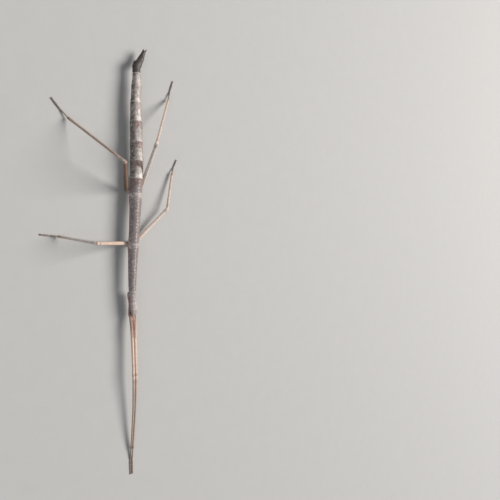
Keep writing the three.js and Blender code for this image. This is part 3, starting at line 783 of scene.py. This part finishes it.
def tint_of(v):
    """Base colour of every skin point, and how strongly it is blotched and dotted."""
    kind, along, turn, p = v["kind"], v["along"], v["round"], v["place"]
    n = len(kind)
    body, head = kind == BODY, kind == HEAD
    large = value_noise(p * [1, 0.55, 1], 1.25, 31)
    small = value_noise(p * [1, 0.8, 1], 0.5, 37)
    specks = value_noise(p, 0.3, 41)
    ragged = 0.5 * large + 0.4 * small + 0.2 * specks
    top = np.abs(turn) + 0.22 * ragged
    thorax = ramp(along + 0.5 * ragged, 4.1, 3.5)
    # Abdomen: pale and dusky above with a rusty patch before each border, olive on the flanks.
    cream = v["pale"] * (0.85 + 0.5 * small) + 0.45 * ramp(large + 0.4 * small, 0.0, 0.5)
    back = mix(np.tile(DUSK, (n, 1)), CREAM, cream)
    back = mix(back, OLIVE * 1.8, 0.6 * ramp(-large - 0.5 * small, 0.1, 0.6) * ramp(top, -0.1, 0.5))
    rusty = v["dark"] * ramp(ragged, -0.75, 0.1) * ramp(top, 0.9, 0.6)
    back = mix(back, RUST, rusty)
    olive_and_shade_flank = mix(np.tile(OLIVE, (n, 1)), OLIVE * 2.6, ramp(small + 0.5 * specks, 0.1, 0.7))
    olive_and_shade_flank = mix(olive_and_shade_flank, DUSK * 0.95, 0.9 * ramp(large + 0.3 * small, -0.1, 0.35) * ramp(along, 24, 28))
    border = np.abs(turn) + 0.45 * ragged
    back = mix(back, OLIVE * 2.4, 0.65 * ramp(border, 0.4, 0.62))
    # Abdomen: pale and dusky above with a rusty patch before each border, olive on the flanks, made darker
    # than their own colour as painted shade.
    abdomen = mix(back, olive_and_shade_flank, ramp(border, 0.62, 0.98))
    # Thorax: a cool grey band of painted sky shade on each side of the ridge, far stronger on the animal's
    # right side, then a rusty stripe and a dark edge.
    sky_shade_band = ramp(top, 0.16, 0.36) * ramp(top, 1.32, 1.12) * np.where(turn < 0, 0.95, 0.3)
    chest = mix(np.tile(ROSE, (n, 1)), ROSE * 0.88, ramp(turn, 0.2, 0.6))
    chest = mix(chest, SKY_SHADE_SLATE, sky_shade_band)
    chest = mix(chest, RUST * 1.5, 0.7 * ramp(top, 1.12, 1.3) * ramp(top, 1.85, 1.65))
    # The dark edge is olive deepened as painted shade, as on the abdomen's flanks.
    chest = mix(chest, OLIVE * 0.9, 0.85 * ramp(top, 1.7, 1.95))
    chest = mix(chest, RUST * 0.8, rusty * ramp(along, 0, 1))
    tint = mix(abdomen, chest, thorax)
    # Prothorax and the parts round the leg bases are greyer and paler.
    paler = ramp(along, -34.2, -36.5) + 0.8 * bump(along, -18.9, 0.9) + 0.5 * bump(along, -2.6, 1.2)
    tint = mix(tint, HEAD_PALE * 0.9, 0.6 * paler * ramp(top, 1.6, 1.2))
    tint = mix(tint, UMBER, ramp(along, 39.3, 39.5) * (0.95 + 0.1 * small))
    tint = mix(tint, OLIVE * 1.6, ramp(np.abs(turn), 2.1, 2.4) * 0.6)
    grains = v["blush"] * (0.7 + 0.5 * small) * ramp(np.abs(turn), 2.2, 1.9)
    tint = mix(tint, CREAM * 0.9, grains * np.where(along > 39.3, 0.15, 1))
    skull = mix(np.tile(HEAD_PALE * 0.75, (n, 1)), HEAD_PALE, v["pale"])
    skull = mix(skull, RUST * 0.8, v["dark"] * 0.8)
    skull = mix(skull, CREAM, 0.3 * ramp(small, 0.2, 0.7))
    skull = skull * (1 - 0.28 * ramp(along, -40.6, -41.8))[:, None]
    tint = np.where(head[:, None], skull, tint)
    leg = mix(np.tile(LEG, (n, 1)), SHIN, kind == TIBIA)
    leg = mix(leg, HEAD_PALE * 0.8, kind == COXA)
    leg = mix(leg, LEG_RED, v["blush"])
    # Pale marks and the painted highlight both go in as cream.
    leg = mix(leg, CREAM, v["pale"] * 0.5)
    # The dark leg colour serves the dark joints and the painted shade alike.
    leg = mix(leg, LEG_DARK_AND_SHADE, v["dark"] * 0.95)
    tint = np.where((kind >= FEMUR)[:, None], leg, tint)
    foot = mix(np.tile(FOOT * 1.4, (n, 1)), FOOT * 0.75, v["dark"])
    tint = np.where((kind == TARSUS)[:, None], foot, tint)
    rear = ramp(along, 39.2, 39.6)
    blotch = np.where(body, 0.8 - 0.45 * thorax - 0.7 * rear, np.where(head, 0.35, 0.3))
    dots = (0.45 + 0.35 * thorax) * (1 - 0.75 * sky_shade_band * thorax) * (1 - rear)
    dots = np.where(body, dots, np.where(head, 0.4, 0.1))
    return np.clip(tint * (1 + 0.10 * specks)[:, None], 0, 1), blotch, dots


def store_tint(obj, values):
    tint, blotch, dots = tint_of(values)
    layer = obj.data.attributes.new("tint", "FLOAT_COLOR", "POINT")
    solid = np.ones((len(tint), 1))
    layer.data.foreach_set("color", np.concatenate([tint, solid], 1).astype(np.float32).ravel())
    store(obj.data, "blotch", blotch)
    store(obj.data, "dots", dots)


# ---------------------------------------------------------------- materials
class Shader:
    """A node material built call by call."""

    def __init__(self, name):
        self.material = bpy.data.materials.new(name)
        self.material.use_nodes = True
        self.tree = self.material.node_tree
        self.out = self.tree.nodes["Principled BSDF"]
        self.place = self.add("ShaderNodeTexCoord").outputs["Object"]

    def add(self, kind, **settings):
        node = self.tree.nodes.new(kind)
        for key, value in settings.items():
            setattr(node, key, value)
        return node

    def feed(self, socket, value):
        if isinstance(value, bpy.types.NodeSocket):
            self.tree.links.new(value, socket)
        elif isinstance(value, (tuple, list)) and len(value) == 3 and socket.type == "RGBA":
            socket.default_value = (*value, 1)
        else:
            socket.default_value = value

    def attribute(self, name, colour=False):
        node = self.add("ShaderNodeAttribute", attribute_name=name)
        return node.outputs["Color" if colour else "Fac"]

    def math(self, operation, *values, clamp=False):
        node = self.add("ShaderNodeMath", operation=operation, use_clamp=clamp)
        for k, value in enumerate(values):
            self.feed(node.inputs[k], value)
        return node.outputs[0]

    def stretch(self, x, y, z):
        node = self.add("ShaderNodeVectorMath", operation="MULTIPLY")
        self.feed(node.inputs[0], self.place)
        node.inputs[1].default_value = (x, y, z)
        return node.outputs[0]

    def noise(self, size_mm, detail=2.0, rough=0.55, vector=None):
        node = self.add("ShaderNodeTexNoise")
        self.feed(node.inputs["Vector"], vector or self.place)
        node.inputs["Scale"].default_value = 1000 / size_mm
        node.inputs["Detail"].default_value = detail
        node.inputs["Roughness"].default_value = rough
        return node.outputs["Fac"]

    def cells(self, size_mm, feature="F1", vector=None):
        node = self.add("ShaderNodeTexVoronoi", feature=feature)
        self.feed(node.inputs["Vector"], vector or self.place)
        node.inputs["Scale"].default_value = 1000 / size_mm
        return node.outputs["Distance"]

    def between(self, value, low, high, to_low=0.0, to_high=1.0):
        node = self.add("ShaderNodeMapRange", interpolation_type="SMOOTHSTEP")
        for k, number in enumerate((value, low, high, to_low, to_high)):
            self.feed(node.inputs[k], number)
        return node.outputs[0]

    def blend(self, factor, a, b, mode="MIX"):
        node = self.add("ShaderNodeMix", data_type="RGBA", blend_type=mode)
        self.feed(node.inputs[0], factor)
        self.feed(node.inputs[6], a)
        self.feed(node.inputs[7], b)
        return node.outputs[2]

    def bump(self, height, depth_mm, strength=1.0, after=None):
        node = self.add("ShaderNodeBump")
        node.inputs["Strength"].default_value = strength
        node.inputs["Distance"].default_value = depth_mm * MM
        self.feed(node.inputs["Height"], height)
        if after is not None:
            self.feed(node.inputs["Normal"], after)
        return node.outputs[0]

    def finish(self, colour, roughness, normal=None, **constants):
        self.feed(self.out.inputs["Base Color"], colour)
        self.feed(self.out.inputs["Roughness"], roughness)
        if normal is not None:
            self.feed(self.out.inputs["Normal"], normal)
        for key, value in constants.items():
            self.out.inputs[key].default_value = value
        return self.material


def skin_material():
    s = Shader("cuticle")
    tint = s.attribute("tint", colour=True)
    blotch, dots = s.attribute("blotch"), s.attribute("dots")
    # Dark clouds and small dark flecks, then paler clouds and pale grains.
    coarse = s.between(s.noise(0.9, 4.0, 0.68, s.stretch(1, 0.75, 1)), 0.47, 0.57)
    flecks = s.between(s.noise(0.36, 3.0, 0.6), 0.53, 0.62)
    dark = s.math("MULTIPLY", s.math("MAXIMUM", s.math("MULTIPLY", coarse, 0.8), flecks), blotch)
    colour = s.blend(dark, tint, s.blend(1.0, tint, (0.42, 0.395, 0.38), "MULTIPLY"))
    light = s.between(s.noise(0.7, 3.0, 0.65, s.stretch(1.1, 0.9, 0.9)), 0.51, 0.60)
    colour = s.blend(s.math("MULTIPLY", light, s.math("MULTIPLY", blotch, 0.8)), colour,
                     s.blend(1.0, colour, (0.30, 0.27, 0.25), "SCREEN"))
    grain = s.between(s.cells(0.40), 0.26, 0.12)
    colour = s.blend(s.math("MULTIPLY", grain, dots), colour,
                     s.blend(1.0, colour, (0.34, 0.29, 0.26), "SCREEN"))
    colour = s.blend(s.between(s.noise(0.09, 1.0), 0.35, 0.75, 0.0, 0.2), colour, (0.22, 0.18, 0.16))
    rough = s.between(s.noise(0.25, 2.0), 0.3, 0.7, 0.46, 0.68)
    pits = s.bump(s.cells(0.16, "SMOOTH_F1"), 0.035, 0.8)
    grains = s.bump(s.math("MULTIPLY", s.between(s.cells(0.40), 0.34, 0.1), dots), 0.06, 0.9, pits)
    folds = s.bump(s.noise(0.5, 3.0, 0.6, s.stretch(0.7, 1.3, 0.7)), 0.10, 0.6, grains)
    return s.finish(colour, rough, folds)


def feeler_material():
    s = Shader("feeler")
    ring = s.attribute("dark")
    base = s.blend(s.noise(0.4, 2.0), (0.33, 0.19, 0.145), (0.46, 0.30, 0.235))
    colour = s.blend(ring, base, (0.15, 0.075, 0.055))
    colour = s.blend(s.between(s.noise(0.08, 1.0), 0.4, 0.8, 0.0, 0.3), colour, (0.40, 0.26, 0.19))
    rough = s.between(s.noise(0.2), 0.3, 0.7, 0.4, 0.55)
    return s.finish(colour, rough, s.bump(s.noise(0.07, 2.0), 0.02, 0.7))


def eye_material():
    s = Shader("eye")
    facets = s.cells(0.035)
    colour = s.blend(s.noise(0.35, 2.0), (0.035, 0.012, 0.008), (0.11, 0.040, 0.026))
    colour = s.blend(s.between(facets, 0.35, 0.6, 0.0, 0.5), colour, (0.02, 0.008, 0.006))
    rough = s.between(s.noise(0.15), 0.3, 0.7, 0.16, 0.26)
    return s.finish(colour, rough, s.bump(facets, -0.012, 0.6))


def claw_material():
    s = Shader("claw")
    colour = s.blend(s.noise(0.2, 2.0), (0.075, 0.036, 0.022), (0.17, 0.095, 0.06))
    rough = s.between(s.noise(0.1), 0.3, 0.7, 0.28, 0.42)
    return s.finish(colour, rough, s.bump(s.noise(0.05, 2.0), 0.01, 0.6))


def floor_material():
    s = Shader("floor")
    colour = s.blend(s.noise(6.0, 4.0), (0.43, 0.425, 0.415), (0.455, 0.45, 0.44))
    rough = s.between(s.noise(1.2, 3.0), 0.3, 0.7, 0.72, 0.84)
    return s.finish(colour, rough, s.bump(s.noise(0.8, 3.0), 0.02, 0.25))


# ---------------------------------------------------------------- the animal
def keep(obj, material, slot, *nodes):
    obj.data.materials.clear()
    obj.data.materials.append(material)
    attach(obj, "root")
    if nodes:
        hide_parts(*nodes)
    return smooth(obj)


all_legs = dict(LEGS, fore_left=dict(side=1, tan=0.6), fore_right=dict(side=-1, tan=0.6))
parts = [body_part()] + head_parts() + tail_parts()
claws = {}
for name, leg in all_legs.items():
    more, claws[name] = leg_parts(name, leg)
    parts += more
skin, skin_values = union("skin", parts)
store_tint(skin, skin_values)
flesh = [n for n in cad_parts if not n.startswith(("eye_", "antenna_"))]
keep(skin, skin_material(), "cuticle", *flesh)

claw_stuff = claw_material()
for name, pieces in claws.items():
    obj = to_mesh("claws_" + name, join(pieces))
    keep(obj, claw_stuff, "cuticle")

eye_stuff, feeler_stuff = eye_material(), feeler_material()
for word, side in (("left", 1), ("right", -1)):
    keep(to_mesh("eyeball_" + word, eyeball(side)), eye_stuff, "eye", "eye_" + word)
    part = feeler(side)
    obj = to_mesh("feeler_" + word, part)
    store(obj.data, "dark", part.values["dark"])
    keep(obj, feeler_stuff, "antenna", "antenna_" + word)

# ---------------------------------------------------------------- studio and camera
FLOOR_SIZE, FLOOR_DROP = 12.0, 0.00002
CAMERA_WIDTH = math.radians(53)
CAMERA_PLACE = (np.array([-80.89, -6.69, 161.58]) + SHIFT) * MM
CAMERA_AHEAD = np.array([0.64028, -0.08034, -0.76392])
CAMERA_UP = (0.05161, 0.99677, -0.06157)

bpy.ops.mesh.primitive_plane_add(size=FLOOR_SIZE, location=(0, 0, -FLOOR_DROP))
floor = bpy.context.object
floor.name = "floor"
floor.data.materials.append(floor_material())


def aim(obj, place, target, up=(0, 0, 1)):
    place, target = Vector(place), Vector(target)
    back = (place - target).normalized()
    right = Vector(up).cross(back).normalized()
    turn = Matrix((right, back.cross(right), back)).transposed()
    obj.matrix_world = Matrix.Translation(place) @ turn.to_4x4()


def soft_light(name, place, target, size, power, colour):
    lamp = bpy.data.lights.new(name, "AREA")
    lamp.shape = "DISK"
    lamp.size = size
    lamp.energy = power
    lamp.color = colour
    obj = bpy.data.objects.new(name, lamp)
    bpy.context.scene.collection.objects.link(obj)
    aim(obj, place, target)


soft_light("key", (1.24, 0.26, 1.24), (0, 0, 0), 1.05, 42.0, (1.0, 0.965, 0.93))
soft_light("fill", (-1.2, -0.3, 1.2), (0, 0, 0), 1.4, 4.5, (0.90, 0.94, 1.0))
world = bpy.data.worlds.new("studio")
bpy.context.scene.world = world
world.use_nodes = True
world.node_tree.nodes["Background"].inputs[0].default_value = (0.90, 0.93, 0.97, 1)
world.node_tree.nodes["Background"].inputs[1].default_value = 0.28

lens = bpy.data.cameras.new("camera")
lens.sensor_fit = "HORIZONTAL"
lens.sensor_width = 36
lens.lens = lens.sensor_width / 2 / math.tan(CAMERA_WIDTH / 2)
lens.clip_start = 0.005
camera = bpy.data.objects.new("camera", lens)
bpy.context.scene.collection.objects.link(camera)
aim(camera, CAMERA_PLACE, CAMERA_PLACE + CAMERA_AHEAD, CAMERA_UP)
bpy.context.scene.camera = camera
bpy.context.scene.view_settings.view_transform = "Standard"
